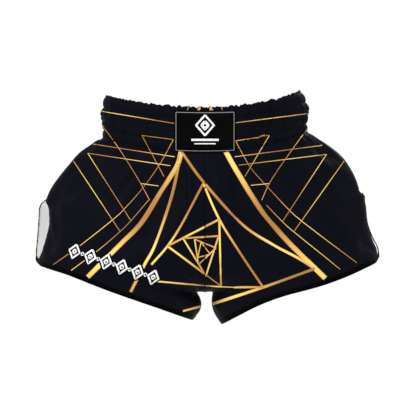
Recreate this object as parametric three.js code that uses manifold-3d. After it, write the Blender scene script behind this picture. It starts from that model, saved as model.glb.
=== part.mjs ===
// Muay Thai boxing shorts, held up by the wearer's waist, as a three.js scene of separate cut pieces.
//
// Millimetres, +Z up. The front faces -Y, so the wearer's left is +X. The origin is the centre of the
// waist opening, at half the height of the elastic waistband over the centre front.
//
// The waistband is a ring with an oval plan whose edges climb towards the sides. Each leg has a front and
// a back panel, cut in one piece from the waist seam to the hem. A panel is a surface (u, t): u runs from
// the centre seam or inseam (0) to the side seam or vent (1), and t from the waist seam (0) to the hem (1).
import * as THREE from 'three';
import { mergeVertices } from 'three/addons/utils/BufferGeometryUtils.js';
import Module from 'manifold-3d';

// ---- driving dimensions ----------------------------------------------------------------------------
const WAIST_WIDTH = 340;        // outside of the band, side to side
const WAIST_DEPTH = 200;        // outside of the band, front to back
const BAND_HEIGHT = 77;         // at the centre front
const TOP_RISE = 24;            // how far the band's top edge climbs from the centre to the sides
const BOTTOM_RISE = 28;         // the same for the waist seam
const RISE_POWER = 2;

const CASING_THICK = 1.5;       // outer fabric of the band
const ELASTIC_THICK = 2.0;
const FACING_THICK = 1.5;       // inner fabric of the band
const ELASTIC_ROWS = 4;
const CORD_TUNNEL = 8;          // free height between the middle elastics, for a drawcord
const ROW_GAP = 2.5;            // free height between the other elastics, for a row of stitches
const EDGE_MARGIN = 2;          // free height between the band's edges and the outer elastics
const CLOTH_GAP = 0.3;          // air between pieces that are sewn together

const PANEL_THICK = 1.6;
const SEAM_LAP = 2;             // how far the panels lap over the outside of the band
const LAP_CLEARANCE = 0.75;     // air between the band and the lapping panels
const SEAM_HALF_GAP = 0.15;     // each panel stops this far from a shared seam plane

const RISE = 233.5;             // from the waist seam at the centre front down to the crotch
const GUSSET_RISE = 27;         // height of the gusset's front and back tips above its side tips
const GUSSET_HALF_WIDTH = 12.5;
const GUSSET_THICK = 1.4;
const GUSSET_INSET = 1.0;       // the gusset's edge stays this far inside the panels' edges
const CROTCH_POWER = 4;         // how late the centre seam turns under the body

const HEM_HALF_DEPTH = 88;      // half the front-to-back size of a leg at its hem
const BELLY = 22;               // how far the front stands out at the hips
const SEAT = 28;                // the same at the back
const HIP_POWER = 2.2;          // shape of the outline from the waist seam to the hem
const HIP_ROUND = 0.8;
const VENT_TOP = 0.5;           // where along the side the vent starts, as a share of its length
const VENT_PART = 5;            // how far the vent's edges stand apart front to back, each way

// How each leg hangs. inseam and side are the heights of its two sides, innerX and outerX the reach of the
// hem's corners, gape and gapePower how far and where the vent's front edge draws back from its rear edge,
// and lift how far the hem rises between its corners.
const LEGS = {
  right: { sign: -1, inseam: 45, side: 213.5, innerX: 21, outerX: 284, gape: 17, gapePower: 0.45, lift: 2 },
  left: { sign: 1, inseam: 52, side: 207.5, innerX: 28, outerX: 288, gape: 4, gapePower: 2.2, lift: 9 },
};

const BINDING_THICK = 0.9;      // wall of the bias binding that wraps every free edge
const HEM_BINDING = 9;          // how far it covers the cloth at the hem
const VENT_BINDING = 4;         // and at the vent

const LABEL_WIDTH = 100;
const LABEL_MARGIN = 7;         // cloth above and below the label, to the band's edges
const LABEL_THICK = 1.2;
const TAG_WIDTH = 30;           // size tag inside the back of the band
const TAG_HEIGHT = 24;
const TAG_THICK = 0.8;
const EYELET_SPACING = 40;      // drawcord eyelets in the front facing
const EYELET_BORE = 2.4;        // radius
const EYELET_WALL = 0.8;
const EYELET_LIP = 0.7;         // how far the flange reaches past the barrel
const EYELET_FLANGE_THICK = 0.8;
const BARTACK = { length: 12, height: 3, thick: 1.2, gap: 0.5 };

const QUARTER_STEPS = 14;       // facets in a quarter of the band, and across each panel
const PANEL_ROWS = 16;          // facets from the waist seam to the hem
const GUSSET_STEPS = 12;        // facets along each half of the gusset

// ---- materials -------------------------------------------------------------------------------------
const material = (color, roughness) => new THREE.MeshStandardMaterial({ color, roughness, metalness: 0 });
const MATERIALS = {
  satin: material(0x10101a, 0.6),
  lining: material(0xeeeef2, 0.8),
  binding: material(0x060608, 0.5),
  label: material(0x050505, 0.45),
  elastic: material(0xf2f2ee, 0.8),
  thread: material(0x08080a, 0.7),
};

// ---- geometry helpers ------------------------------------------------------------------------------
const vec = (x, y, z) => new THREE.Vector3(x, y, z);
const lerp = THREE.MathUtils.lerp;

// A geometry from points and triangles, turned so that its faces point out.
function closedGeometry(points, triangles) {
  let volume = 0;
  for (const [a, b, c] of triangles) volume += points[a].dot(vec().crossVectors(points[b], points[c]));
  const index = triangles.flatMap(([a, b, c]) => (volume > 0 ? [a, b, c] : [a, c, b]));
  const geometry = new THREE.BufferGeometry().setFromPoints(points);
  return geometry.setIndex(index);
}

// Closes a stack of equal rings of points, each ring being the outline of one section, into one body.
// A loop of rings needs no ends; otherwise each end is capped with quads, given as corners of the ring.
function skinRings(rings, isLoop, caps) {
  const size = rings[0].length;
  const points = rings.flat();
  const triangles = [];
  const spans = isLoop ? rings.length : rings.length - 1;
  for (let i = 0; i < spans; i++) {
    for (let k = 0; k < size; k++) {
      const a = i * size + k;
      const b = i * size + ((k + 1) % size);
      const c = ((i + 1) % rings.length) * size + k;
      const d = ((i + 1) % rings.length) * size + ((k + 1) % size);
      triangles.push([a, b, d], [a, d, c]);
    }
  }
  if (!isLoop) {
    const last = (rings.length - 1) * size;
    for (const [a, b, c, d] of caps) {
      triangles.push([a, c, b], [a, d, c]);
      triangles.push([last + a, last + b, last + c], [last + a, last + c, last + d]);
    }
  }
  return closedGeometry(points, triangles);
}

// A sheet with a thickness: outer and inner are functions of (i, j) on a grid of facets.
function sheet(columns, rows, outer, inner, isLoop = false) {
  const rings = [];
  const caps = [];
  for (let j = 0; j < rows; j++) caps.push([j, j + 1, 2 * rows - j, 2 * rows + 1 - j]);
  for (let i = 0; i < (isLoop ? columns : columns + 1); i++) {
    const ring = [];
    for (let j = 0; j <= rows; j++) ring.push(outer(i, j));
    for (let j = rows; j >= 0; j--) ring.push(inner(i, j));
    rings.push(ring);
  }
  return skinRings(rings, isLoop, caps);
}

const root = new THREE.Group();
function piece(name, geometry, materialName) {
  const mesh = new THREE.Mesh(geometry, MATERIALS[materialName]);
  mesh.name = name;
  root.add(mesh);
  return mesh;
}

// ---- waistband -------------------------------------------------------------------------------------
const SIDE = Math.PI / 2;
const climb = (angle, rise) => rise * Math.abs(Math.sin(angle)) ** RISE_POWER;
const bandTop = (angle) => BAND_HEIGHT / 2 + climb(angle, TOP_RISE);
const bandBottom = (angle) => -BAND_HEIGHT / 2 + climb(angle, BOTTOM_RISE);

// A point on the band: angle 0 is the centre front and SIDE the wearer's left, level runs from the waist
// seam (0) to the top edge (1), and offset is outwards from the casing's outer face.
function bandPoint(angle, level, offset) {
  const x = (WAIST_WIDTH / 2) * Math.sin(angle);
  const y = (-WAIST_DEPTH / 2) * Math.cos(angle);
  const out = vec(x / (WAIST_WIDTH / 2) ** 2, y / (WAIST_DEPTH / 2) ** 2, 0).normalize();
  return vec(x, y, lerp(bandBottom(angle), bandTop(angle), level)).addScaledVector(out, offset);
}

// Half of the band's ring, or a patch on it, from one offset to another.
function bandPatch({ from, to, steps, low, high, outer, inner, yLimit = 0 }) {
  const at = (offset) => (i, j) => {
    const p = bandPoint(lerp(from, to, i / steps), j ? high : low, offset);
    if (yLimit) p.y = yLimit < 0 ? Math.min(p.y, yLimit) : Math.max(p.y, yLimit);
    return p;
  };
  return sheet(steps, 1, at(outer), at(inner));
}

const elasticOuter = -(CASING_THICK + CLOTH_GAP);
const elasticInner = elasticOuter - ELASTIC_THICK;
const facingOuter = elasticInner - CLOTH_GAP;
const facingInner = facingOuter - FACING_THICK;
const HALVES = { front: [-SIDE, -SEAM_HALF_GAP], back: [SIDE, SEAM_HALF_GAP] };

function addCasing(half) {
  const [from, yLimit] = HALVES[half];
  const span = { from, to: from + Math.PI, steps: 2 * QUARTER_STEPS, low: 0, high: 1, yLimit };
  piece(`waistband_casing_${half}`, bandPatch({ ...span, outer: 0, inner: -CASING_THICK }), 'satin');
}

// Each elastic is a closed ring in its own channel, with the drawcord's tunnel between the middle two.
const rowGaps = CORD_TUNNEL + (ELASTIC_ROWS - 2) * ROW_GAP;
const elasticHeight = (BAND_HEIGHT - 2 * EDGE_MARGIN - rowGaps) / ELASTIC_ROWS;
function elasticStart(row) {
  const pastTunnel = row >= ELASTIC_ROWS / 2 ? CORD_TUNNEL - ROW_GAP : 0;
  return EDGE_MARGIN + row * (elasticHeight + ROW_GAP) + pastTunnel;
}

function addElastic(row) {
  const steps = 4 * QUARTER_STEPS;
  const low = elasticStart(row) / BAND_HEIGHT;
  const high = low + elasticHeight / BAND_HEIGHT;
  const at = (offset) => (i, j) => bandPoint((i / steps) * 2 * Math.PI, j ? high : low, offset);
  piece(`elastic_band_${row + 1}`, sheet(steps, 1, at(elasticOuter), at(elasticInner), true), 'elastic');
}

// Cuts round holes through a closed geometry with manifold-3d.
const wasm = await Module();
wasm.setup();
function solidOf(geometry) {
  const bare = new THREE.BufferGeometry();
  bare.setAttribute('position', geometry.getAttribute('position'));
  if (geometry.index) bare.setIndex(geometry.index);
  const merged = mergeVertices(bare, 1e-4);
  const vertProperties = new Float32Array(merged.attributes.position.array);
  const triVerts = new Uint32Array(merged.index.array);
  return new wasm.Manifold(new wasm.Mesh({ numProp: 3, vertProperties, triVerts }));
}
function geometryOf(solid) {
  const mesh = solid.getMesh();
  const geometry = new THREE.BufferGeometry();
  geometry.setAttribute('position', new THREE.BufferAttribute(mesh.vertProperties, 3));
  return geometry.setIndex(new THREE.BufferAttribute(mesh.triVerts, 1));
}

// Places a geometry whose axis is +Z at a point of the front facing, with the axis towards the wearer.
function atEyelet(geometry, side) {
  const angle = Math.asin((side * EYELET_SPACING) / WAIST_WIDTH);
  const inside = bandPoint(angle, 0.5, facingInner);
  const inwards = inside.clone().sub(bandPoint(angle, 0.5, facingOuter)).normalize();
  const turn = new THREE.Quaternion().setFromUnitVectors(vec(0, 0, 1), inwards);
  return geometry.applyQuaternion(turn).translate(inside.x, inside.y, inside.z);
}

function addFacing(half) {
  const [from, yLimit] = HALVES[half];
  const span = { from, to: from + Math.PI, steps: 2 * QUARTER_STEPS, low: 0, high: 1, yLimit };
  let geometry = bandPatch({ ...span, outer: facingOuter, inner: facingInner });
  if (half === 'front') {
    let solid = solidOf(geometry);
    for (const side of [-1, 1]) {
      const radius = EYELET_BORE + EYELET_WALL + CLOTH_GAP;
      const drill = new THREE.CylinderGeometry(radius, radius, 4 * FACING_THICK, 20).rotateX(Math.PI / 2);
      solid = solid.subtract(solidOf(atEyelet(drill, side)));
    }
    geometry = geometryOf(solid);
  }
  piece(`waistband_facing_${half}`, geometry, 'satin');
}

// A flanged ring: the barrel passes through the facing and the flange lies on the wearer's side of it.
function addEyelet(name, side) {
  const barrel = EYELET_BORE + EYELET_WALL;
  const flange = barrel + CLOTH_GAP + EYELET_LIP;
  const face = CLOTH_GAP + EYELET_FLANGE_THICK;
  const profile = [
    [EYELET_BORE, -FACING_THICK],
    [barrel, -FACING_THICK],
    [barrel, CLOTH_GAP],
    [flange, CLOTH_GAP],
    [flange, face],
    [EYELET_BORE, face],
    [EYELET_BORE, -FACING_THICK],
  ].map(([x, y]) => new THREE.Vector2(x, y));
  const ring = new THREE.LatheGeometry(profile, 24).rotateX(Math.PI / 2);
  piece(name, atEyelet(ring, side), 'thread');
}

function addLabel() {
  const reach = Math.asin(LABEL_WIDTH / WAIST_WIDTH);
  const steps = QUARTER_STEPS;
  const at = (offset) => (i, j) => {
    const p = bandPoint(lerp(-reach, reach, i / steps), 0.5, offset);
    p.z = (j ? 1 : -1) * (BAND_HEIGHT / 2 - LABEL_MARGIN);
    return p;
  };
  piece('label_patch', sheet(steps, 1, at(CLOTH_GAP + LABEL_THICK), at(CLOTH_GAP)), 'label');
}

function addSizeTag() {
  const reach = Math.asin(TAG_WIDTH / WAIST_WIDTH);
  const steps = 4;
  const top = BAND_HEIGHT / 2 - ROW_GAP;
  const at = (offset) => (i, j) => {
    const p = bandPoint(Math.PI + lerp(-reach, reach, i / steps), 0.5, offset);
    p.z = j ? top : top - TAG_HEIGHT;
    return p;
  };
  const face = facingInner - CLOTH_GAP;
  piece('size_tag', sheet(steps, 1, at(face), at(face - TAG_THICK)), 'lining');
}

// ---- leg panels ------------------------------------------------------------------------------------
const seamHalfWidth = WAIST_WIDTH / 2 + LAP_CLEARANCE + PANEL_THICK;
const seamHalfDepth = WAIST_DEPTH / 2 + LAP_CLEARANCE + PANEL_THICK;
const seamCentreZ = -BAND_HEIGHT / 2 + SEAM_LAP;
const seamSideZ = seamCentreZ + BOTTOM_RISE;
const crotchZ = -BAND_HEIGHT / 2 - RISE;
const gussetTipZ = crotchZ + GUSSET_RISE;
for (const leg of Object.values(LEGS)) {
  leg.innerZ = crotchZ - leg.inseam;
  leg.outerZ = -BAND_HEIGHT / 2 + BOTTOM_RISE - leg.side;
}
const share = (value, from, to) => THREE.MathUtils.clamp((value - from) / (to - from), 0, 1);

// Where the inner edge of a leg's panels runs: down the centre seam, out along the gusset and down the
// inseam. The turn is the angle at which the panel's section starts, from facing forwards to facing in.
function innerEdge(leg, t) {
  const z = lerp(seamCentreZ, leg.innerZ, t);
  const alongGusset = share(z, gussetTipZ, crotchZ);
  const alongInseam = share(z, crotchZ, leg.innerZ);
  const x = GUSSET_HALF_WIDTH * alongGusset + (leg.innerX - GUSSET_HALF_WIDTH) * alongInseam;
  const towardsCrotch = share(z, seamCentreZ, crotchZ);
  return { x, z, turn: Math.asin(Math.sqrt(1 - towardsCrotch ** CROTCH_POWER)) };
}

function outerEdge(leg, face, t) {
  const reach = (1 - (1 - t) ** HIP_POWER) ** HIP_ROUND;
  const alongVent = share(t, VENT_TOP, 1);
  const drawBack = face < 0 ? leg.gape * Math.sin(Math.PI * alongVent ** leg.gapePower) : 0;
  const x = lerp(seamHalfWidth, leg.outerX, reach) - drawBack;
  const part = VENT_PART * Math.sin(Math.PI * alongVent);
  return { x, z: lerp(seamSideZ, leg.outerZ, t), part };
}

// A point of a panel's outer skin. face is -1 for the front and 1 for the back.
function panelPoint(leg, face, u, t) {
  const inner = innerEdge(leg, t);
  const outer = outerEdge(leg, face, t);
  const angle = lerp(inner.turn, Math.PI, u);
  const across = (Math.cos(inner.turn) - Math.cos(angle)) / (Math.cos(inner.turn) + 1);
  const fullness = (face < 0 ? BELLY : SEAT) * Math.sin(Math.PI * t);
  const depth = lerp(seamHalfDepth, HEM_HALF_DEPTH, t) + fullness;
  const slope = across ** lerp(RISE_POWER, 1, t);
  const lift = leg.lift * t ** 4 * Math.sin(Math.PI * across) * (1 - across);
  return vec(
    leg.sign * lerp(inner.x, outer.x, across),
    face * (depth * Math.sin(angle) + outer.part * u ** 4),
    lerp(inner.z, outer.z, slope) + lift,
  );
}

// Keeps a point on its own side of the centre plane and of the plane through the side seams.
function keepAside(p, leg, face) {
  p.x = leg.sign * Math.max(leg.sign * p.x, SEAM_HALF_GAP);
  p.y = face * Math.max(face * p.y, SEAM_HALF_GAP);
  return p;
}

// The outer skin's point at a grid station, with its normal and the directions to the neighbours.
function panelFrame(leg, face, i, j) {
  const at = (a, b) => panelPoint(leg, face, a / QUARTER_STEPS, b / PANEL_ROWS);
  const clampI = (a) => THREE.MathUtils.clamp(a, 0, QUARTER_STEPS);
  const clampJ = (b) => THREE.MathUtils.clamp(b, 0, PANEL_ROWS);
  const across = at(clampI(i + 1), j).sub(at(clampI(i - 1), j)).normalize();
  const down = at(i, clampJ(j + 1)).sub(at(i, clampJ(j - 1))).normalize();
  const normal = vec().crossVectors(across, down).normalize();
  return { p: at(i, j), across, down, normal: normal.multiplyScalar(leg.sign * face) };
}

function addPanel(name, leg, face) {
  const at = (depth) => (i, j) => {
    const { p, normal } = panelFrame(leg, face, i, j);
    return keepAside(p.addScaledVector(normal, -depth), leg, face);
  };
  piece(name, sheet(QUARTER_STEPS, PANEL_ROWS, at(0), at(PANEL_THICK)), 'satin');
}

// ---- bindings --------------------------------------------------------------------------------------
// The binding's section is a U round the cloth's edge: along is past the edge, and out is from the outer skin.
function bindingSection(cover) {
  const gap = CLOTH_GAP;
  const wall = CLOTH_GAP + BINDING_THICK;
  const back = -(PANEL_THICK + gap);
  return [
    [-cover, wall], [wall, wall], [wall, back - BINDING_THICK], [-cover, back - BINDING_THICK],
    [-cover, back], [gap, back], [gap, gap], [-cover, gap],
  ];
}

function binding(stations, cover, leg, face) {
  const section = bindingSection(cover);
  const rings = stations.map(({ p, past, normal }) => section.map(([along, out]) => {
    const corner = p.clone().addScaledVector(past, along).addScaledVector(normal, out);
    return keepAside(corner, leg, face);
  }));
  return skinRings(rings, false, [[0, 1, 6, 7], [1, 2, 5, 6], [2, 3, 4, 5]]);
}

function addHemBinding(name, leg, face) {
  const stations = [];
  for (let i = 0; i <= QUARTER_STEPS; i++) {
    const { p, down, normal } = panelFrame(leg, face, i, PANEL_ROWS);
    stations.push({ p, past: down, normal });
  }
  piece(name, binding(stations, HEM_BINDING, leg, face), 'binding');
}

// The vent's binding runs from just under its top to just above the hem's binding.
function addVentBinding(name, leg, face) {
  const stations = [];
  for (let j = Math.round(VENT_TOP * PANEL_ROWS) + 1; j < PANEL_ROWS; j++) {
    const { p, across, normal } = panelFrame(leg, face, QUARTER_STEPS, j);
    stations.push({ p, past: across, normal });
  }
  piece(name, binding(stations, VENT_BINDING, leg, face), 'binding');
}

// A bar of dense stitches across the side seam, where the vent starts.
function addBartack(name, leg) {
  const row = Math.round(VENT_TOP * PANEL_ROWS) - 0.25;
  const { p, normal } = panelFrame(leg, 1, QUARTER_STEPS, row);
  const lean = Math.atan2(normal.z, leg.sign * normal.x);
  const bar = new THREE.BoxGeometry(BARTACK.thick, BARTACK.length, BARTACK.height);
  const mesh = piece(name, bar, 'thread');
  mesh.rotation.y = -leg.sign * lean;
  const out = vec(leg.sign * Math.cos(lean), 0, Math.sin(lean));
  mesh.position.set(p.x, 0, p.z).addScaledVector(out, BARTACK.gap + BARTACK.thick / 2);
}

// ---- gusset ----------------------------------------------------------------------------------------
// A diamond between the legs, sewn from two halves. A half's long edge lies on the centre plane, and its
// other edge follows the panels' edges from the front tip to the side tip and on to the back tip.
function gussetRim(leg, s) {
  const face = s < 0 ? -1 : 1;
  const z = lerp(crotchZ, gussetTipZ, Math.abs(s));
  const t = (z - seamCentreZ) / (leg.innerZ - seamCentreZ);
  const p = panelPoint(leg, face, 0, t);
  p.x = leg.sign * Math.max(leg.sign * p.x - GUSSET_INSET, SEAM_HALF_GAP + 0.1);
  return p;
}

function addGusset(name, leg) {
  const below = (i, j) => {
    const p = gussetRim(leg, (2 * i) / GUSSET_STEPS - 1);
    if (!j) p.x = leg.sign * SEAM_HALF_GAP;
    return p;
  };
  const above = (i, j) => below(i, j).add(vec(0, 0, GUSSET_THICK));
  piece(name, sheet(GUSSET_STEPS, 1, above, below), 'satin');
}

// ---- assembly --------------------------------------------------------------------------------------
for (const half of ['front', 'back']) {
  addCasing(half);
  addFacing(half);
}
for (let row = 0; row < ELASTIC_ROWS; row++) addElastic(row);
addLabel();
addSizeTag();
addEyelet('cord_eyelet_left', 1);
addEyelet('cord_eyelet_right', -1);

for (const [side, leg] of Object.entries(LEGS)) {
  for (const [half, face] of [['front', -1], ['back', 1]]) {
    addPanel(`${half}_panel_${side}`, leg, face);
    addHemBinding(`${half}_hem_binding_${side}`, leg, face);
    addVentBinding(`${half}_vent_binding_${side}`, leg, face);
  }
  addBartack(`vent_bartack_${side}`, leg);
  addGusset(`crotch_gusset_${side}`, leg);
}

export default root;
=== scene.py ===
import math

import bmesh
import bpy
import numpy as np
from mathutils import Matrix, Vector
from mathutils.bvhtree import BVHTree


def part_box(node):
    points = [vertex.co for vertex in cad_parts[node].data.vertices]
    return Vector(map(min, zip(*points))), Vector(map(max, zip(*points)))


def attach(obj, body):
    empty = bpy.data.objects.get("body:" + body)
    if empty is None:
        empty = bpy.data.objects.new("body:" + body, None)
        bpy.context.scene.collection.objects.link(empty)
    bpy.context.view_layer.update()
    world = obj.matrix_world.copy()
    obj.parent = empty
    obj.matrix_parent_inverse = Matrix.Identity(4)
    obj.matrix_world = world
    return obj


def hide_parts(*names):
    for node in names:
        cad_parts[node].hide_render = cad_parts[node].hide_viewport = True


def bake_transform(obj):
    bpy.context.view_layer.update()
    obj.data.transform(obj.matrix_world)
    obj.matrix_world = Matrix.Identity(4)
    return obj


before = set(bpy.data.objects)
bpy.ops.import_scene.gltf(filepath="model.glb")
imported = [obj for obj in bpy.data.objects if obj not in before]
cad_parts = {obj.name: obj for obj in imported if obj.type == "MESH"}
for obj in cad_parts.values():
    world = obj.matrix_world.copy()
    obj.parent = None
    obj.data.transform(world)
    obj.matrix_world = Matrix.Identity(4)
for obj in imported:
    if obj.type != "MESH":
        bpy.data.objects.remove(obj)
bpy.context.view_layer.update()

RNG = np.random.RandomState(7)
MM = 0.001

# ---- sizes shared with the CAD source (m) ----
casing_lo, casing_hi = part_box("waistband_casing_front")
label_lo, label_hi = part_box("label_patch")
gusset_lo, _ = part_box("crotch_gusset_left")
HALF_W = casing_hi.x
HALF_D = -casing_lo.y
BAND_HALF = -casing_lo.z
TOP_RISE = casing_hi.z - BAND_HALF
BOTTOM_RISE = 28 * MM
RISE_POWER = 2.0
PANEL_THICK = 1.6 * MM
CLOTH_THICK = 0.5 * MM
SEAM_GAP = 0.75 * MM + PANEL_THICK
SEAM_LAP = 2 * MM
SEAM_Z = -BAND_HALF + SEAM_LAP
SEAM_SIDE_Z = SEAM_Z + BOTTOM_RISE
CROTCH_Z = gusset_lo.z
GUSSET_TIP_Z = CROTCH_Z + 27 * MM
GUSSET_HALF = 12.5 * MM
CROTCH_POWER = 4.0
HEM_HALF_DEPTH = 88 * MM
BELLY = 22 * MM
SEAT = 28 * MM
HIP_POWER = 2.2
HIP_ROUND = 0.8
VENT_PART = 5 * MM

# Lists are in mm at ten even steps. hip_fit: how the worn cloth leaves the side's even curve, from waist
# to hem. gape: how far the vent's front edge stands back from the rear one, from the vent's top to the hem.
# hem_lift: how far the hem rises above its even slope, from the inseam to the side.
LEGS = {
    "right": dict(sign=-1, inner_x=21 * MM, inseam=45 * MM, side=213.5 * MM, outer_x=284 * MM,
                  lean=-4.5 * MM, shoulder=1.5 * MM, bulge=8 * MM, vent_top=0.5, step_onset=0.13,
                  back_step=11 * MM, front_step=0, hip_fit=[0, 5, 2.5, 3.5, 5, 4, 3, 1, 0, 0, 0],
                  gape=[0, 9, 13.5, 16, 17, 16, 14.5, 12.5, 10, 6, 2],
                  hem_lift=[0, 0.5, 1, 1, 1, 1, 1.5, 2.5, 3, 1.5, 0]),
    "left": dict(sign=1, inner_x=28 * MM, inseam=52 * MM, side=207.5 * MM, outer_x=288 * MM,
                 lean=6 * MM, shoulder=4 * MM, bulge=3 * MM, vent_top=0.466, step_onset=0.03,
                 back_step=8 * MM, front_step=7.5 * MM, hip_fit=[0, 6, 7.5, 4.5, 0, -5, -7, -9, -5, 3, 5],
                 gape=[0, 0.5, 0.5, 0.5, 0.5, 1, 2, 3.5, 4, 3, 1],
                 hem_lift=[0, 4, 7.5, 8.5, 7, 3.5, 0, -2, -2.5, -1.5, 0]),
}
for leg in LEGS.values():
    leg["inner_z"] = CROTCH_Z - leg["inseam"]
    leg["outer_z"] = -BAND_HALF + BOTTOM_RISE - leg["side"]
FACES = {"front": -1, "back": 1}
CENTRE_Z = sum(leg["inner_z"] for leg in LEGS.values()) / 2

# ---- camera, floor and light ----
VIEW_WIDTH = 0.699               # what the picture spans at the side seams
VIEW_CENTRE = (0.005, -0.1295)   # x and z
CAMERA_DISTANCE = 7.0
EYE = Vector((VIEW_CENTRE[0], -CAMERA_DISTANCE, VIEW_CENTRE[1]))


def area_light(name, place, aim, size, watts):
    light = bpy.data.objects.new(name, bpy.data.lights.new(name, "AREA"))
    light.data.shape = "RECTANGLE"
    light.data.size, light.data.size_y = size
    light.data.energy = watts
    light.location = place
    light.rotation_mode = "QUATERNION"
    light.rotation_quaternion = (Vector(aim) - Vector(place)).to_track_quat("-Z", "Y")
    bpy.context.scene.collection.objects.link(light)


def set_stage():
    scene = bpy.context.scene
    camera = bpy.data.objects.new("camera", bpy.data.cameras.new("camera"))
    camera.data.lens = 18 * CAMERA_DISTANCE / (VIEW_WIDTH / 2)
    camera.data.sensor_width = 36
    camera.location = EYE
    camera.rotation_euler = (math.pi / 2, 0, 0)
    camera.data.clip_end = 100
    scene.collection.objects.link(camera)
    scene.camera = camera
    scene.view_settings.view_transform = "Standard"
    world = bpy.data.worlds.new("studio")
    world.use_nodes = True
    background = world.node_tree.nodes["Background"].inputs
    background["Color"].default_value = (1, 1, 1, 1)
    background["Strength"].default_value = 1.0
    scene.world = world
    area_light("key", (-1.6, -2.2, 1.6), (0, 0, -0.1), (1.2, 0.9), 55)
    area_light("rim", (1.9, -0.9, 0.9), (0, 0, -0.1), (0.5, 1.4), 7)
    area_light("back_key", (0.9, 2.4, 1.5), (0, 0, -0.1), (1.2, 0.9), 45)
    r, z = 2.4, -0.62
    corners = [(-r, -r, z), (r, -r, z), (r, r, z), (-r, r, z)]
    new_object("floor", corners, [(0, 1, 2, 3)], [floor_material()])


# ---- materials ----
class Shader:
    """A Principled material whose colour, roughness and bump come from texture nodes."""

    def __init__(self, name, **sockets):
        self.material = bpy.data.materials.new(name)
        self.material.use_nodes = True
        self.tree = self.material.node_tree
        self.main = self.tree.nodes["Principled BSDF"]
        for key, value in sockets.items():
            socket = self.main.inputs[key.replace("_", " ")]
            socket.default_value = (*value, 1) if isinstance(value, tuple) else value
        self.uv = self.node("ShaderNodeTexCoord").outputs["UV"]
        parts = self.node("ShaderNodeSeparateXYZ", {"Vector": self.uv})
        self.u, self.v = parts.outputs["X"], parts.outputs["Y"]

    def node(self, kind, inputs=(), **settings):
        node = self.tree.nodes.new(kind)
        for key, value in settings.items():
            setattr(node, key, value)
        for key, value in dict(inputs).items():
            if isinstance(value, bpy.types.NodeSocket):
                self.tree.links.new(value, node.inputs[key])
            else:
                node.inputs[key].default_value = value
        return node

    def noise(self, scale, detail=2.0):
        inputs = {"Vector": self.uv, "Scale": scale, "Detail": detail}
        return self.node("ShaderNodeTexNoise", inputs).outputs["Fac"]

    def wave(self, wavelength, turn=0.0, distortion=0.0):
        turned = self.node("ShaderNodeMapping", {"Vector": self.uv, "Rotation": (0, 0, turn)})
        inputs = {"Vector": turned.outputs["Vector"], "Scale": 0.314 / wavelength, "Distortion": distortion}
        return self.node("ShaderNodeTexWave", inputs).outputs["Fac"]

    def math(self, operation, a, b=0.0, c=0.0):
        return self.node("ShaderNodeMath", {0: a, 1: b, 2: c}, operation=operation).outputs[0]

    def ramp(self, fac, stops):
        node = self.node("ShaderNodeValToRGB", {"Fac": fac})
        elements = node.color_ramp.elements
        while len(elements) < len(stops):
            elements.new(0.5)
        for element, (place, colour) in zip(elements, stops):
            element.position = place
            element.color = (*colour, 1)
        return node.outputs["Color"]

    def blend(self, fac, dark, light, low=0.3, high=0.7):
        return self.ramp(fac, [(low, dark), (high, light)])

    def bump(self, height, distance, strength=1.0, under=None):
        inputs = {"Height": height, "Distance": distance, "Strength": strength}
        if under is not None:
            inputs["Normal"] = under
        return self.node("ShaderNodeBump", inputs).outputs["Normal"]

    def finish(self, colour, roughness=None, normal=None):
        """Links what is given to the Principled node, and returns the material."""
        for key, output in (("Base Color", colour), ("Roughness", roughness), ("Normal", normal)):
            if output is not None:
                self.tree.links.new(output, self.main.inputs[key])
        return self.material


def floor_material():
    s = Shader("floor", Roughness=0.8, Specular_IOR_Level=0.2)
    return s.finish(s.blend(s.noise(3), (0.86, 0.86, 0.86), (0.9, 0.9, 0.9)))


def satin_material():
    """Near-black navy satin: a fine diagonal weave, slightly uneven in colour and gloss."""
    s = Shader("satin", Specular_IOR_Level=0.02, Sheen_Weight=0.003, Sheen_Roughness=0.45,
               Sheen_Tint=(0.6, 0.65, 1.0))
    cloud = s.noise(14, 4)
    weave = s.wave(0.9 * MM, 0.9, 0.6)
    tone = s.math("ADD", s.math("MULTIPLY", cloud, 0.75), s.math("MULTIPLY", weave, 0.25))
    crinkle = s.bump(s.noise(55, 3), 0.5 * MM, 0.35)
    return s.finish(s.blend(tone, (0.0018, 0.0018, 0.0042), (0.0033, 0.0033, 0.0068), 0.3, 0.75),
                    s.math("MULTIPLY_ADD", cloud, 0.16, 0.48), s.bump(weave, 0.06 * MM, 0.5, crinkle))


def lining_material():
    """The white unprinted reverse of the satin."""
    s = Shader("lining", Specular_IOR_Level=0.15)
    cloud = s.noise(20, 4)
    weave = s.math("MULTIPLY", s.wave(0.8 * MM), s.wave(0.8 * MM, math.pi / 2))
    return s.finish(s.blend(cloud, (0.86, 0.86, 0.87), (0.93, 0.93, 0.93)),
                    s.math("MULTIPLY_ADD", cloud, 0.15, 0.68),
                    s.bump(weave, 0.1 * MM, 0.5, s.bump(s.noise(45, 3), 0.5 * MM, 0.4)))


def stitch_mask(s, place, half, pitch):
    """1 on dashes of a stitch row: u runs along the row, v across it, both in metres."""
    on_row = s.math("LESS_THAN", s.math("ABSOLUTE", s.math("SUBTRACT", s.v, place)), half)
    dash = s.math("LESS_THAN", s.math("FRACT", s.math("DIVIDE", s.u, pitch)), 0.72)
    return s.math("MULTIPLY", on_row, dash)


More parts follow.
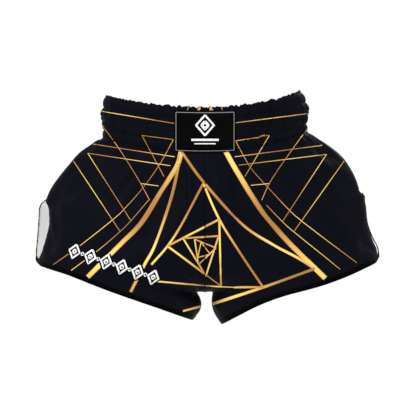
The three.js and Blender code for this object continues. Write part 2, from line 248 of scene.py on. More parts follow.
def binding_material():
    """Black bias tape: fine ribs across it and one row of stitches near its inner edge."""
    s = Shader("binding", Specular_IOR_Level=0.015, Sheen_Weight=0.002, Sheen_Roughness=0.4)
    ribs = s.wave(0.7 * MM, 0.785)
    stitches = stitch_mask(s, 1.6 * MM, 0.35 * MM, 2.6 * MM)
    mix = s.node("ShaderNodeMix", data_type="RGBA")
    cloth = s.blend(s.noise(60, 3), (0.0003, 0.0003, 0.0004), (0.0009, 0.0009, 0.0011))
    s.tree.links.new(stitches, mix.inputs["Factor"])
    s.tree.links.new(cloth, mix.inputs["A"])
    mix.inputs["B"].default_value = (0.004, 0.004, 0.005, 1)
    return s.finish(mix.outputs["Result"], s.math("MULTIPLY_ADD", ribs, 0.1, 0.46),
                    s.bump(stitches, 0.3 * MM, 0.8, s.bump(ribs, 0.05 * MM, 0.5)))


def gold_material():
    """Printed gold that runs between bright yellow and bronze along each line."""
    s = Shader("gold_print", Specular_IOR_Level=0.3)
    wave = s.math("MULTIPLY_ADD", s.math("SINE", s.u), 0.42, 0.45)
    tone = s.math("SUBTRACT", wave, s.math("MULTIPLY", s.math("ABSOLUTE", s.v), 0.5))
    stops = [(0.0, (0.33, 0.15, 0.028)), (0.3, (0.53, 0.27, 0.055)), (0.6, (0.66, 0.42, 0.10)),
             (0.92, (0.86, 0.68, 0.17))]
    return s.finish(s.ramp(tone, stops), s.math("MULTIPLY_ADD", s.noise(30, 3), 0.2, 0.38),
                    s.bump(s.noise(900, 1), 0.05 * MM, 0.4))


def thread_material(name, dark, light, pitch, turn=0.9):
    """Lustrous embroidery thread laid side by side. Darker thread has less gloss."""
    s = Shader(name, Specular_IOR_Level=0.02 + 0.25 * light[0], Sheen_Weight=0.003, Sheen_Roughness=0.4)
    strands = s.wave(pitch, turn, 0.4)
    tone = s.math("MULTIPLY_ADD", s.noise(90, 2), 0.5, 0.25)
    return s.finish(s.blend(tone, dark, light, 0.2, 0.8), s.math("MULTIPLY_ADD", strands, 0.2, 0.4),
                    s.bump(strands, 0.15 * MM, 0.8))


def elastic_material():
    """White woven elastic, ribbed round the waist."""
    s = Shader("elastic", Specular_IOR_Level=0.2)
    rib = s.wave(1.6 * MM, math.pi / 2)
    return s.finish(s.blend(s.noise(80, 3), (0.7, 0.7, 0.68), (0.86, 0.86, 0.83)),
                    s.math("MULTIPLY_ADD", rib, 0.15, 0.6), s.bump(rib, 0.3 * MM, 0.7))


# ---- mesh helpers ----
def new_object(name, verts, faces, materials, uvs=None):
    mesh = bpy.data.meshes.new(name)
    mesh.from_pydata([tuple(map(float, v)) for v in verts], [], faces)
    for material in materials:
        mesh.materials.append(material)
    if uvs is not None:
        layer = mesh.uv_layers.new(name="cloth")
        loops = np.empty(len(mesh.loops), dtype=np.int32)
        mesh.loops.foreach_get("vertex_index", loops)
        layer.data.foreach_set("uv", np.asarray(uvs, dtype=np.float32)[loops].ravel())
    mesh.polygons.foreach_set("use_smooth", [True] * len(mesh.polygons))
    obj = bpy.data.objects.new(name, mesh)
    bpy.context.scene.collection.objects.link(obj)
    return obj


def grid_faces(columns, rows, loop_rows=False, flip=False, start=0, caps=False):
    """Quads of a grid whose vertex (i, j) is number start + i * rows + j, and a tube's two end faces."""
    faces = []
    for i in range(columns - 1):
        for j in range(rows if loop_rows else rows - 1):
            k = (j + 1) % rows
            quad = (start + i * rows + j, start + (i + 1) * rows + j,
                    start + (i + 1) * rows + k, start + i * rows + k)
            faces.append(quad[::-1] if flip else quad)
    if caps:
        faces += [tuple(range(rows)), tuple(reversed(range((columns - 1) * rows, columns * rows)))]
    return faces


def surface(name, columns, rows, place, materials, **wrap):
    """An object made of a grid for which place(i, j) gives each point and its uv."""
    verts, uvs = zip(*[place(i, j) for i in range(columns) for j in range(rows)])
    return new_object(name, verts, grid_faces(columns, rows, **wrap), materials, uvs)


def plain_uvs(along, across):
    """The uvs of a grid from the lengths along its columns and its rows."""
    return np.stack(np.broadcast_arrays(along[:, None], across[None, :]), axis=-1).reshape(-1, 2)


def lengths(points):
    """How far each point of a line is along it."""
    return np.concatenate([[0], np.cumsum(np.linalg.norm(np.diff(points, axis=0), axis=1))])


def thicken(obj, thickness, inner_slot=0):
    """Gives a sheet its thickness on the inside, with the inside's own material."""
    solid = obj.modifiers.new("thickness", "SOLIDIFY")
    solid.thickness = thickness
    solid.offset = -1
    solid.use_even_offset = False
    solid.material_offset = inner_slot
    solid.material_offset_rim = 0


def face_to(obj, way):
    """Turns a sheet's faces over if they face away from a direction."""
    obj.data.update()
    if sum(p.normal.dot(Vector(way)) for p in obj.data.polygons) < 0:
        obj.data.flip_normals()


def weld_and_face(obj):
    """Closes a tube along its seam and turns its faces out."""
    bm = bmesh.new()
    bm.from_mesh(obj.data)
    bmesh.ops.remove_doubles(bm, verts=bm.verts, dist=1e-6)
    bmesh.ops.recalc_face_normals(bm, faces=bm.faces)
    bm.to_mesh(obj.data)
    bm.free()


def ride_leg(obj, side):
    """Bakes the object's placement into its mesh, where it stays."""
    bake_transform(obj)


def take_over(obj, solid, side=None):
    """The object stands for a CAD solid, which is hidden, and is parented to the waist's empty or, on a leg,
    has its placement baked into its mesh.
    """
    if solid:
        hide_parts(solid)
    if side:
        ride_leg(obj, side)
    else:
        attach(obj, "waist")
    return obj


def grid_normals(points, outward):
    """Unit normals of a grid of points, on the side that outward (+1 or -1) chooses."""
    across = np.gradient(points, axis=0)
    down = np.gradient(points, axis=1)
    normal = np.cross(across, down) * outward
    return normal / np.maximum(np.linalg.norm(normal, axis=2, keepdims=True), 1e-12)


def spline(values, places, axis):
    """Catmull-Rom values at fractional indices along one axis of an array."""
    a = np.moveaxis(values, axis, 0)
    n = len(a)
    k = np.clip(np.floor(places).astype(int), 0, n - 2)
    f = (places - k).reshape((-1,) + (1,) * (a.ndim - 1))
    before = np.where((k > 0).reshape(f.shape), a[np.maximum(k - 1, 0)], 2 * a[k] - a[k + 1])
    after = np.where((k < n - 2).reshape(f.shape), a[np.minimum(k + 2, n - 1)], 2 * a[k + 1] - a[k])
    p, q = a[k], a[k + 1]
    out = p + 0.5 * f * (q - before + f * (2 * before - 5 * p + 4 * q - after
                                           + f * (3 * (p - q) + after - before)))
    return np.moveaxis(out, 0, axis)


def wander(places, longest, shortest, waves=7):
    """A smooth random curve of unit size with ripples between two wavelengths."""
    out = np.zeros_like(places)
    for wavelength in np.geomspace(longest, shortest, waves):
        phase = RNG.uniform(0, 2 * math.pi)
        out += np.sin(2 * math.pi * places / (wavelength * RNG.uniform(0.85, 1.15)) + phase)
    return out / math.sqrt(waves / 2)


def humps(places, pitch, uneven=0.55):
    """Rounded folds with sharp valleys, 0 to 1, about one pitch apart."""
    phase = places / pitch + uneven * wander(places, pitch * 12, pitch * 3)
    return np.abs(np.sin(math.pi * phase)) ** 0.7


# ---- the shape of the legs ----
def share(value, start, end):
    return np.clip((value - start) / (end - start), 0, 1)


def profile(values, places):
    """A list given in mm at ten even steps, as a smooth curve at places from 0 to 1."""
    return spline(np.array(values, float), np.clip(places, 0, 1).ravel() * 10, 0).reshape(places.shape) * MM


def panel_points(leg, face, u, t):
    """Points of a panel's outer skin: u from the centre seam to the side, t from the waist to the hem."""
    z = SEAM_Z + (leg["inner_z"] - SEAM_Z) * t
    x_in = GUSSET_HALF * share(z, GUSSET_TIP_Z, CROTCH_Z)
    below = share(z, CROTCH_Z, leg["inner_z"])
    x_in = x_in + (leg["inner_x"] - GUSSET_HALF) * below ** 2.4 - leg["bulge"] * np.sin(math.pi * below)
    turn = np.arcsin(np.sqrt(1 - share(z, SEAM_Z, CROTCH_Z) ** CROTCH_POWER))
    vent = share(t, leg["vent_top"], 1.0)
    reach = (1 - (1 - t) ** HIP_POWER) ** HIP_ROUND
    x_out = HALF_W + SEAM_GAP + (leg["outer_x"] - HALF_W - SEAM_GAP) * reach
    x_out = x_out + profile(leg["hip_fit"], t) - leg["shoulder"] * (t / 0.05) * np.exp(1 - t / 0.05)
    z_out = SEAM_SIDE_Z + (leg["outer_z"] - SEAM_SIDE_Z) * t + leg["lean"] * (1 - t) ** 2
    angle = turn + (math.pi - turn) * u
    across = (np.cos(turn) - np.cos(angle)) / (np.cos(turn) + 1)
    opening = -profile(leg["gape"], vent) * across ** 6
    onset = np.sqrt(share(vent, 0, leg["step_onset"]))
    fade = onset * np.exp(-vent / 0.2)
    if face < 0:
        edge_shift = opening + leg["front_step"] * fade * across ** 20
    else:
        edge_shift = leg["back_step"] * fade * across ** 8
    fall = (z - SEAM_Z) / (CENTRE_Z - SEAM_Z)
    fall = fall + (t - fall) * across
    depth = HALF_D + SEAM_GAP + (HEM_HALF_DEPTH - HALF_D - SEAM_GAP) * fall
    depth = depth + (BELLY if face < 0 else SEAT) * np.sin(math.pi * np.minimum(fall, 1))
    slope = across ** (RISE_POWER + (1 - RISE_POWER) * t)
    lift = profile(leg["hem_lift"], across) * t ** 4
    part = VENT_PART * np.sin(math.pi * vent) * u ** 4
    return np.stack([
        leg["sign"] * (x_in + (x_out - x_in) * across + edge_shift),
        face * (depth * np.sin(angle) + part),
        z + (z_out - z) * slope + lift,
    ], axis=-1)


ROWS_TO_CROTCH, ROWS_BELOW, COLUMNS = 40, 10, 48


def panel_rows(leg):
    """t of each row, placed so that both legs share their points down the centre seam."""
    z = np.concatenate([np.linspace(SEAM_Z, CROTCH_Z, ROWS_TO_CROTCH + 1),
                        np.linspace(CROTCH_Z, leg["inner_z"], ROWS_BELOW + 1)[1:]])
    return (z - SEAM_Z) / (leg["inner_z"] - SEAM_Z)


def coarse_panels():
    u = np.linspace(0, 1, COLUMNS + 1)[:, None]
    return {(half, side): panel_points(leg, face, u, panel_rows(leg)[None, :])
            for half, face in FACES.items() for side, leg in LEGS.items()}


# ---- cloth simulation ----
GROWTH = 0.035           # how much larger the cloth is than the shape it starts from
LONGEST_MOVE = 9 * MM
CALM_EDGE = 48 * MM      # from a panel's edge to where its folds are full
FRAMES = 22
SMOOTHINGS = 2


def pin_weights(shape):
    """How firmly each grid point is held: the waist seam fast, the seams and bound edges partly."""
    held = np.zeros(shape)
    held[:, 0] = 1
    held[:, 1] = 0.6
    held[0, :] = np.maximum(held[0, :], 0.75)
    held[-1, :] = np.maximum(held[-1, :], 0.85)
    held[:, -1] = np.maximum(held[:, -1], 0.8)
    return held


def sew(panels):
    """One mesh of all the panels: its points, how firmly each is held, its faces and the panels' numbers."""
    welded, numbers, verts, weights, faces = {}, {}, [], [], []
    for (half, side), points in panels.items():
        held = pin_weights(points.shape[:2])
        index = np.empty(held.shape, dtype=int)
        for place in np.ndindex(held.shape):
            key = tuple(np.round(points[place] * 1e5).astype(int))
            if key not in welded:
                welded[key] = len(verts)
                verts.append(points[place])
                weights.append(held[place])
            index[place] = welded[key]
        numbers[half, side] = index
        for quad in grid_faces(*index.shape, flip=FACES[half] * LEGS[side]["sign"] > 0):
            corners = list(dict.fromkeys(int(index.flat[k]) for k in quad))
            if len(corners) > 2:
                faces.append(corners)
    return np.array(verts), weights, faces, numbers


def buckle(start, weights, faces):
    """How far the cloth solver moves each point of cloth that is a little too large for its shape."""
    obj = new_object("legs_cloth", start, faces, [])
    group = obj.vertex_groups.new(name="held")
    for n, w in enumerate(weights):
        if w > 0:
            group.add([n], float(w), "REPLACE")
    cloth = obj.modifiers.new("cloth", "CLOTH")
    s = cloth.settings
    s.quality = 6
    s.mass = 0.12
    s.tension_stiffness = s.compression_stiffness = 12
    s.shear_stiffness = 4
    s.bending_stiffness = 0.35
    s.air_damping = 1.5
    s.vertex_group_mass = "held"
    s.shrink_min = -GROWTH
    s.effector_weights.gravity = 0.35
    cloth.collision_settings.use_collision = False
    cloth.point_cache.frame_start, cloth.point_cache.frame_end = 1, FRAMES
    scene = bpy.context.scene
    for number in range(1, FRAMES + 1):
        scene.frame_set(number)
    graph = bpy.context.evaluated_depsgraph_get()
    shift = np.array([v.co for v in obj.evaluated_get(graph).data.vertices]) - start
    scene.frame_set(1)
    bpy.data.objects.remove(obj)
    far = np.linalg.norm(shift, axis=1, keepdims=True)
    return shift * np.minimum(1, LONGEST_MOVE / np.maximum(far, 1e-9))


def simulate(panels):
    """The panels with the folds that the solver finds, without its slide within the cloth, so that the print
    stays where it is laid out."""
    *mesh, numbers = sew(panels)
    shift = buckle(*mesh)
    settled = {}
    for key, points in panels.items():
        field = shift[numbers[key]]
        square = grid_normals(points, 1)
        field = square * (field * square).sum(axis=2, keepdims=True)
        for _ in range(SMOOTHINGS):
            field[1:-1, 1:-1] = (field[1:-1, 1:-1] * 2 + field[:-2, 1:-1] + field[2:, 1:-1]
                                 + field[1:-1, :-2] + field[1:-1, 2:]) / 6
        settled[key] = points + field * edge_calm(points)[..., None]
    return settled


def grid_lengths(points):
    """How far each point of a grid is along its row and along its column."""
    across = np.linalg.norm(np.diff(points, axis=0, prepend=points[:1]), axis=2)
    down = np.linalg.norm(np.diff(points, axis=1, prepend=points[:, :1]), axis=2)
    return np.cumsum(across, axis=0), np.cumsum(down, axis=1)


def edge_calm(points):
    """0 on a panel's edges and 1 well inside it."""
    across, down = grid_lengths(points)
    inset = np.minimum(np.minimum(across, across[-1:] - across), np.minimum(down, down[:, -1:] - down))
    near = share(inset, 0, CALM_EDGE)
    return near * near * (3 - 2 * near)


# ---- finished panels ----
FINE_COLUMNS, ROWS_ABOVE, ROWS_UNDER = 132, 104, 30
CORNER_RADIUS = 9 * MM


def edge_packed(count):
    """Places from 0 to 1, closer together near both ends."""
    s = np.linspace(0, 1, count)
    return s - 0.11 * np.sin(2 * math.pi * s)


def fine_rows():
    """Fractional rows of the coarse grid. Both legs use the same, so they meet down the centre seam."""
    above = ROWS_TO_CROTCH * np.linspace(0, 1, ROWS_ABOVE) ** 1.2
    under = ROWS_TO_CROTCH + ROWS_BELOW * (1 - (1 - np.linspace(0, 1, ROWS_UNDER)[1:]) ** 1.3)
    return np.concatenate([above, under])


def smooth_falloff(distance, size):
    return np.exp(-(distance / size) ** 2)


def refine(coarse):
    points = spline(coarse, edge_packed(FINE_COLUMNS) * (len(coarse) - 1), 0)
    return spline(points, fine_rows(), 1)


class Panel:
    """One finished panel: a fine grid of points with its normals and its distances from the edges."""

    def __init__(self, half, side, coarse, unfolded):
        self.half, self.side = half, side
        self.leg = LEGS[side]
        self.outward = -FACES[half] * self.leg["sign"]
        self.points, self.unfolded = refine(coarse), refine(unfolded)
        self.t = np.interp(fine_rows(), np.arange(coarse.shape[1]), panel_rows(self.leg))

    def measure(self):
        self.normals = grid_normals(self.points, -self.outward)
        self.along_u, self.along_t = grid_lengths(self.points)
        self.to_side = self.along_u[-1:] - self.along_u
        self.to_hem = self.along_t[:, -1:] - self.along_t

    def border(self):
        """Grid places of the four edges."""
        columns, rows = self.points.shape[:2]
        places = [(i, j) for i in (0, columns - 1) for j in range(rows)]
        return places + [(i, j) for i in range(columns) for j in (0, rows - 1)]

    def raise_by(self, height):
        self.points = self.points + self.normals * height[..., None]

    def add_gathers(self):
        """Small folds that hang from the gathered waist seam and fade out down the leg."""
        seam, down = self.along_u[:, 0], self.along_t
        fine = humps(seam, 10 * MM, 0.5) - 0.5
        broad = wander(seam, 60 * MM, 20 * MM, 4)
        height = 3.2 * MM * fine[:, None] * np.exp(-down / (24 * MM)) * share(down, 1 * MM, 8 * MM)
        height += 1.3 * MM * broad[:, None] * np.exp(-down / (80 * MM)) * share(down, 0, 12 * MM)
        ends = np.minimum(self.along_u, self.to_side)
        self.raise_by(height * share(ends, 0, 14 * MM))

    def add_drape(self):
        """Broad shallow folds that run from the waist's sides and the crotch across the panel."""
        x, z = self.points[..., 0] * self.leg["sign"], self.points[..., 2]
        pull = np.arctan2(z - 30 * MM, x - 40 * MM)
        far = np.hypot(x - 40 * MM, z - 30 * MM)
        folds = wander(pull * 170 * MM, 75 * MM, 24 * MM, 5)
        crotch = np.arctan2(z - CROTCH_Z - 6 * MM, x)
        near = np.hypot(x, z - CROTCH_Z)
        rays = wander(crotch * 90 * MM, 60 * MM, 20 * MM, 4)
        height = 1.5 * MM * folds * share(far, 40 * MM, 120 * MM) * (1 - share(far, 190 * MM, 330 * MM))
        height += 0.8 * MM * rays * share(near, 6 * MM, 30 * MM) * np.exp(-near / (70 * MM))
        inset = np.minimum(np.minimum(self.along_u, self.to_side), self.to_hem)
        self.raise_by(height * share(inset, 0, 30 * MM) * share(self.along_t, 10 * MM, 45 * MM))

    def add_seams(self):
        """The waist seam tucks under the band, and the other seams sink a little."""
        tuck = 5.2 * MM * smooth_falloff(self.along_t, 3.2 * MM)
        centre = 0.9 * MM * smooth_falloff(self.along_u, 1.6 * MM)
        side = 0.9 * MM * smooth_falloff(self.to_side, 1.6 * MM) * (self.t < self.leg["vent_top"])[None, :]
        sink = np.maximum(centre, side) * share(self.along_t, 0, 10 * MM)
        level = self.normals * [1, 1, 0]
        self.raise_by(-sink)
        self.points -= level * tuck[..., None]
        self.points[..., 2] += 3.5 * MM * smooth_falloff(self.along_t, 2.6 * MM)

    def round_corner(self):
        """The binding turns the corner between vent and hem in a curve."""
        reach = np.abs(self.points[..., 0])
        d = np.clip(CORNER_RADIUS - (reach[-1:] - reach), 0, CORNER_RADIUS)
        rise = CORNER_RADIUS - np.sqrt(CORNER_RADIUS ** 2 - d ** 2 * 0.97)
        rise *= np.exp(-self.to_hem / (30 * MM))
        up = -np.gradient(self.points, axis=1)
        up /= np.maximum(np.linalg.norm(up, axis=2, keepdims=True), 1e-12)
        self.points = self.points + up * rise[..., None]

    def printed(self):
        return Printed(self.obj, self.points, self.normals, self.unfolded)

    def build(self, materials):
        faces = grid_faces(*self.points.shape[:2], flip=self.outward > 0)
        uvs = np.stack([self.along_u, -self.along_t], axis=-1).reshape(-1, 2)
        name = f"{self.half}_panel_{self.side}"
        self.obj = new_object(f"cloth_{name}", self.points.reshape(-1, 3), faces, materials, uvs)
        thicken(self.obj, CLOTH_THICK, inner_slot=1)
        take_over(self.obj, name, self.side)


def share_normals(panels):
    """Measures the panels, and gives points that two of them share one normal, so that seams stay shut."""
    total = {}
    for panel in panels.values():
        panel.measure()
        panel.edge_keys = {(i, j): tuple(np.round(panel.points[i, j] * 2e5).astype(int))
                           for i, j in set(panel.border())}
        for (i, j), key in panel.edge_keys.items():
            total[key] = total.get(key, 0) + panel.normals[i, j]
    for panel in panels.values():
        for (i, j), key in panel.edge_keys.items():
            panel.normals[i, j] = total[key] / np.linalg.norm(total[key])


def finish_panels(coarse, unfolded):
    panels = {key: Panel(*key, points, unfolded[key]) for key, points in coarse.items()}
    for step in (Panel.add_drape, Panel.add_gathers, Panel.add_seams, Panel.round_corner):
        share_normals(panels)
        for panel in panels.values():
            step(panel)
    share_normals(panels)
    return panels


# ---- bindings ----
BINDING_LIFT = 0.55 * MM
TAPE_COVERS = {"hem": 8.5 * MM, "vent": 3.6 * MM}   # how far the tape reaches over the cloth
TAPE_STEPS = 7


def tape_sections(panel, lines, cover):
    """For each line of grid places from an edge inwards: the points under the tape, their normals, and the
    direction into the cloth."""
    sections = []
    reach = np.linspace(0, cover, TAPE_STEPS)
    for line in lines:
        gone = lengths(panel.points[line])
        under, normals = (np.stack([np.interp(reach, gone, grid[line][:, c]) for c in range(3)], axis=1)
                          for grid in (panel.points, panel.normals))
        normals /= np.linalg.norm(normals, axis=1, keepdims=True)
        way = under[-1] - under[0]
        sections.append((under, normals, way / np.linalg.norm(way)))
    return sections


def wrap_binding(name, sections, material):
    """A bias tape folded round an edge, with both of its sides lying on the cloth."""
    lifts = BINDING_LIFT * (0.35 + 0.65 * np.minimum(1, np.linspace(6, 0, TAPE_STEPS)) ** 0.5)
    radius = CLOTH_THICK / 2 + BINDING_LIFT
    turns = np.linspace(math.pi / 2, -math.pi / 2, 7)[1:-1, None]
    along = lengths(np.array([under[0] for under, _, _ in sections]))
    ripple = 0.12 * MM * wander(along, 30 * MM, 6 * MM)
    rings = []
    for (under, normals, way), extra in zip(sections, ripple):
        top = under + normals * (lifts + extra)[:, None]
        below = under - normals * (CLOTH_THICK + lifts + extra)[:, None]
        middle = under[0] - normals[0] * CLOTH_THICK / 2
        fold = middle - way * radius * np.cos(turns) + normals[0] * radius * np.sin(turns)
        rings.append(np.concatenate([top[::-1], fold, below]))
    girth = lengths(rings[len(rings) // 2])
    faces = grid_faces(len(along), len(girth), loop_rows=True, caps=True)
    obj = new_object(name, np.concatenate(rings), faces, [material], plain_uvs(along, girth))
    weld_and_face(obj)
    return obj


def add_binding(panel, kind, cover, material):
    columns, rows = panel.points.shape[:2]
    inwards = -1 - np.arange(14)
    if kind == "hem":
        lines = [(np.full(14, i), rows + inwards) for i in [*range(0, columns - 1, 2), columns - 1]]
    else:
        first = int(np.searchsorted(panel.t, panel.leg["vent_top"])) + 1
        lines = [(columns + inwards, np.full(14, j)) for j in range(first, rows)]
    obj = wrap_binding(f"tape_{panel.half}_{kind}_{panel.side}", tape_sections(panel, lines, cover), material)
    return take_over(obj, f"{panel.half}_{kind}_binding_{panel.side}", panel.side)


# ---- waistband ----
AROUND = 960
MIDDLE_SAG = 3 * MM               # how far the band's top edge hangs at the centre
SIDE_BELLY = 4.5 * MM
LEAN_IN = 2 * MM, 8 * MM          # how far the top leans in at the right side and at the left
TOP_TILT = -6 * MM, 2 * MM        # how far the top stands higher there
STITCH_ROWS = [-20.25 * MM, -4 * MM, 4 * MM, 20.25 * MM]
BAND_THICK = 5.6 * MM
FOLD_STEPS = 6
OUTER_STEPS = 60
INNER_STEPS = 26
MIDDLE_CHANNEL = 2                # the narrow one, which holds no elastic
ELASTIC_HEIGHT = 15 * MM
ELASTIC_THICK = 1.6 * MM
BAND_CLOTH = {"casing": 0.6 * MM, "facing": 0.5 * MM}


def by_side(angle, right, left):
    """One value on the right half of the ring and another on the left half."""
    return np.where(np.sin(angle) < 0, right, left)


def band_frame(angle):
    """Places round the waist: x, y, the way out, and the heights of the band's bottom and top edges."""
    x, y = HALF_W * np.sin(angle), -HALF_D * np.cos(angle)
    out = np.stack([x / HALF_W ** 2, y / HALF_D ** 2, np.zeros_like(x)], axis=-1)
    out /= np.linalg.norm(out, axis=-1, keepdims=True)
    climb = np.abs(np.sin(angle)) ** RISE_POWER
    bottom = -BAND_HALF + (BOTTOM_RISE + by_side(angle, LEGS["right"]["lean"], LEGS["left"]["lean"])) * climb
    top = BAND_HALF + (TOP_RISE + by_side(angle, *TOP_TILT)) * climb - MIDDLE_SAG * (1 - climb)
    return x, y, out, bottom, top


def channel_at(level):
    """Which elastic channel is at a level from 0 to 1, and how far that channel swells there."""
    edges = [-BAND_HALF] + STITCH_ROWS + [BAND_HALF]
    height = -BAND_HALF + 2 * BAND_HALF * level
    n = int(np.clip(np.searchsorted(edges, height, side="right") - 1, 0, len(edges) - 2))
    local = (height - edges[n]) / (edges[n + 1] - edges[n])
    return n, max(0.0, math.sin(math.pi * local)) ** 0.55


def side_shape(angle, level):
    """How far the band's sides stand out at a level: a belly, and a lean inwards at the top."""
    side = np.abs(np.sin(angle)) ** 3
    belly = SIDE_BELLY * math.exp(-((level - 0.56) / 0.16) ** 2)
    return side * (belly - by_side(angle, *LEAN_IN) * level ** 5)


def band_rows(girth):
    """How far each point of the band stands out, on a grid of angle by height."""
    folds = [humps(girth, pitch * MM) for pitch in (6.4, 5.6, 4.6, 5.2, 6.0)]
    long_folds = humps(girth, 15 * MM, 0.8)
    size = 0.75 + 0.3 * wander(girth, 90 * MM, 25 * MM, 4)
    out = np.zeros((len(girth), OUTER_STEPS))
    for k, level in enumerate(np.linspace(0, 1, OUTER_STEPS)):
        n, swell = channel_at(level)
        swell *= 0.55 if n == MIDDLE_CHANNEL else 1.0
        fold = 1.0 + 1.7 * swell
        out[:, k] = (-0.9 + 2.3 * swell + fold * size * (0.72 * folds[n] + 0.28 * long_folds - 0.5)) * MM
    return out, folds[-1], long_folds


def ring_points(angle, sections):
    """Points of a ring from its sections, each an offset out from the waist's ellipse and a height."""
    x, y, out = band_frame(angle)[:3]
    flat = np.stack([x, y, np.zeros_like(x)], axis=-1)
    return np.stack([flat + out * np.reshape(offset, (-1, 1)) + np.outer(z, (0, 0, 1))
                     for offset, z in sections], axis=1)


def make_band():
    """The whole waistband ring as sections from its lower edge, over the top fold, down its inside."""
    angle = np.arange(AROUND) / AROUND * 2 * math.pi
    x, y, _, bottom, top = band_frame(angle)
    steps = np.hypot(np.diff(x, append=x[:1]), np.diff(y, append=y[:1]))
    girth = np.concatenate([[0], np.cumsum(steps)[:-1]])
    girth *= round(girth[-1] / (60 * MM)) * 60 * MM / girth[-1]
    stand, top_fold, long_folds = band_rows(girth)
    seam_soft = share(np.minimum(angle, 2 * math.pi - angle), 0, 0.03)
    calm = np.where((np.abs(x) < HALF_W * 0.33) & (y < 0), 0.45, 1.0)   # the label holds the folds down
    calm = np.convolve(np.concatenate([calm[-8:], calm, calm[:8]]), np.ones(17) / 17, "valid")
    sections = []
    for k, level in enumerate(np.linspace(0, 1, OUTER_STEPS)):
        offset = stand[:, k] * seam_soft * (calm if level < 0.93 else 1) + side_shape(angle, level)
        offset -= 1.2 * MM * math.exp(-(level / 0.025) ** 2)
        sections.append((offset, bottom + (top - bottom) * level))
    crumple = 0.5 + 0.3 * wander(girth, 26 * MM, 9 * MM, 5)
    ruffle = 4.4 * MM * (0.25 * top_fold + 0.5 * long_folds + 0.5 * crumple - 0.6) * seam_soft
    outer = sections[-1][0]
    inner = -np.abs(np.sin(angle)) ** 3 * by_side(angle, *LEAN_IN) - BAND_THICK
    for a in np.linspace(0, math.pi, FOLD_STEPS + 2)[1:-1]:
        offset = (outer + inner) / 2 + (outer - inner) / 2 * math.cos(a)
        sections.append((offset, top + (1.8 * MM + ruffle) * math.sin(a)))
    lining = humps(girth, 7.5 * MM)
    for level in np.linspace(1, 0, INNER_STEPS):
        swell = channel_at(level)[1]
        bulge = (0.4 - 1.2 * swell) * MM - 0.9 * MM * (lining - 0.5) * (0.4 + 0.6 * swell)
        sections.append((side_shape(angle, level) - BAND_THICK + bulge, bottom + (top - bottom) * level))
    return ring_points(angle, sections), girth


def elastic_ring(middle):
    """Points of one elastic between the casing and the facing, as loops of its closed section."""
    angle = np.arange(0, AROUND + 1, 2) / AROUND * 2 * math.pi
    bottom, top = band_frame(angle)[3:]
    sections = []
    lows = np.linspace(-0.5, 0.5, 8)
    for place, depth in [(f, 0.0) for f in lows] + [(f, ELASTIC_THICK) for f in lows[::-1]]:
        level = (middle + place * (ELASTIC_HEIGHT - 2 * MM) + BAND_HALF) / (2 * BAND_HALF)
        sections.append((side_shape(angle, level) - 2.6 * MM - depth, bottom + (top - bottom) * level))
    return ring_points(angle, sections)


def add_elastics(material):
    edges = [-BAND_HALF] + STITCH_ROWS + [BAND_HALF]
    middles = [(lo + hi) / 2 for lo, hi in zip(edges, edges[1:])]
    del middles[MIDDLE_CHANNEL]
    for number, middle in enumerate(middles, 1):
        ring = elastic_ring(middle)
        columns, rows = ring.shape[:2]
        steps = np.linalg.norm(np.diff(ring, axis=0), axis=2).mean(axis=1)
        uvs = plain_uvs(np.concatenate([[0], np.cumsum(steps)]), np.linspace(0, 2 * ELASTIC_HEIGHT, rows))
        obj = new_object(f"woven_elastic_{number}", ring.reshape(-1, 3),
                         grid_faces(columns, rows, loop_rows=True), [material], uvs)
        weld_and_face(obj)
        take_over(obj, f"elastic_band_{number}")


def band_piece(kind, half, points, girth, sections, material):
    """The casing or the facing of one half of the band."""
    quarter = AROUND // 4
    columns = (np.arange(-quarter, quarter + 1) + (0 if half == "front" else AROUND // 2)) % AROUND
    part = points[np.ix_(columns, sections)]
    down = np.cumsum(np.linalg.norm(np.diff(part, axis=1, prepend=part[:, :1]), axis=2).mean(axis=0))
    u = np.unwrap(girth[columns], period=girth[-1] + girth[1])
    obj = new_object(f"cloth_{kind}_{half}", part.reshape(-1, 3), grid_faces(*part.shape[:2]), [material],
                     plain_uvs(u, down))
    thicken(obj, BAND_CLOTH[kind])
    return take_over(obj, f"waistband_{kind}_{half}")


def add_waistband(satin, elastic):
    points, girth = make_band()
    add_elastics(elastic)
    apex = OUTER_STEPS + FOLD_STEPS // 2
    sections = {"casing": np.arange(apex + 1), "facing": np.arange(apex, points.shape[1])}
    return {(kind, half): band_piece(kind, half, points, girth, sections[kind], satin)
            for half in FACES for kind in sections}


# ---- label, tag, eyelets, bar tacks ----
def band_place(x, z, offset):
    """A point over the front of the band's outside, given its x and z."""
    angle = math.asin(max(-1, min(1, x / HALF_W)))
    y = -HALF_D * math.cos(angle)
    return Vector((x, y, z)) + Vector((x / HALF_W ** 2, y / HALF_D ** 2, 0)).normalized() * offset


def rounded_outline(half_w, half_h, radius, steps=6):
    outline = []
    for cx, cz, start in ((1, 1, 0), (-1, 1, 90), (-1, -1, 180), (1, -1, 270)):
        for k in range(steps + 1):
            a = math.radians(start + 90 * k / steps)
            outline.append((cx * (half_w - radius) + radius * math.cos(a),
                            cz * (half_h - radius) + radius * math.sin(a)))
    return outline


LABEL_OVER, LABEL_UNDER = 1.6 * MM, 2.6 * MM   # how far the padded patch passes its CAD outline
BORDER_INSET = 1.5 * MM


def label_height(x, z, half_w, half_h):
    """The patch is padded by the folds under it, and sinks along its stitched border."""
    edge = min(half_w - abs(x), half_h - abs(z))
    sink = math.exp(-((edge - BORDER_INSET) / (1.3 * MM)) ** 2)
    dome = min(1, edge / (9 * MM))
    wave = 0.35 * MM * math.sin(x * 130 + 1) * math.sin(z * 160 + 2)
    return 2.5 * MM + 0.9 * MM * dome + wave * dome - 0.4 * MM * sink


